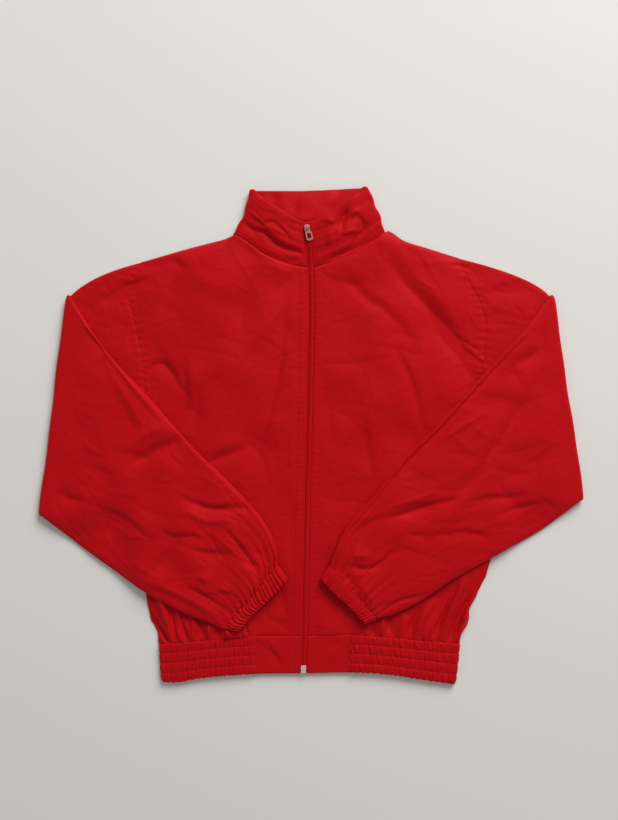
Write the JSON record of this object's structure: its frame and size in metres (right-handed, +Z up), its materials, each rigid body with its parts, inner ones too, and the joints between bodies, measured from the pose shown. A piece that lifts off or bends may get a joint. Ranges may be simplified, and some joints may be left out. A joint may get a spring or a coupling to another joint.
{
  "type": "windbreaker jacket laid flat",
  "caption": "Zipped red windbreaker jacket lying on its back with its sleeves folded over its front, a stand collar, gathered cuffs and a gathered waistband.",
  "frame": {"origin": "on the surface that the jacket lies on, under the middle of its outline seen from above", "axes": "+Z up from the surface, +Y towards the collar, +X towards the wearer's left, which is the right of the jacket seen from above"},
  "size_m": [0.7803, 0.7166, 0.0201],
  "materials": {
    "shell_cloth": "thin smooth plain-woven red polyester with a soft low sheen",
    "gathered_cloth": "the same red cloth, gathered in small ruffles over elastic",
    "zip_tape": "red woven zip tape and red nylon coil",
    "zip_metal": "polished pale metal that picks up the red of the cloth"
  },
  "bodies": {
    "jacket": {"back": "shell_cloth", "front_right": "shell_cloth", "front_left": "shell_cloth", "sleeve_right": "shell_cloth", "sleeve_left": "shell_cloth", "collar": "shell_cloth", "band_tab_right": "shell_cloth", "band_tab_left": "shell_cloth", "cuff_right": "gathered_cloth", "cuff_left": "gathered_cloth", "band_elastic": "gathered_cloth", "zip_tape_right": "zip_tape", "zip_tape_left": "zip_tape", "zip_coil": "zip_tape", "zip_slider": "zip_metal", "zip_box": "zip_metal"},
    "pull": {"zip_pull": "zip_metal"}
  },
  "joints": [
    {"name": "pull_swing", "type": "hinge", "parent": "jacket", "child": "pull", "pos_m": [-0.0058, 0.29983, 0.01753], "axis": [-0.9659, -0.2567, -0.0331], "range_deg": [0, 165]}
  ]
}
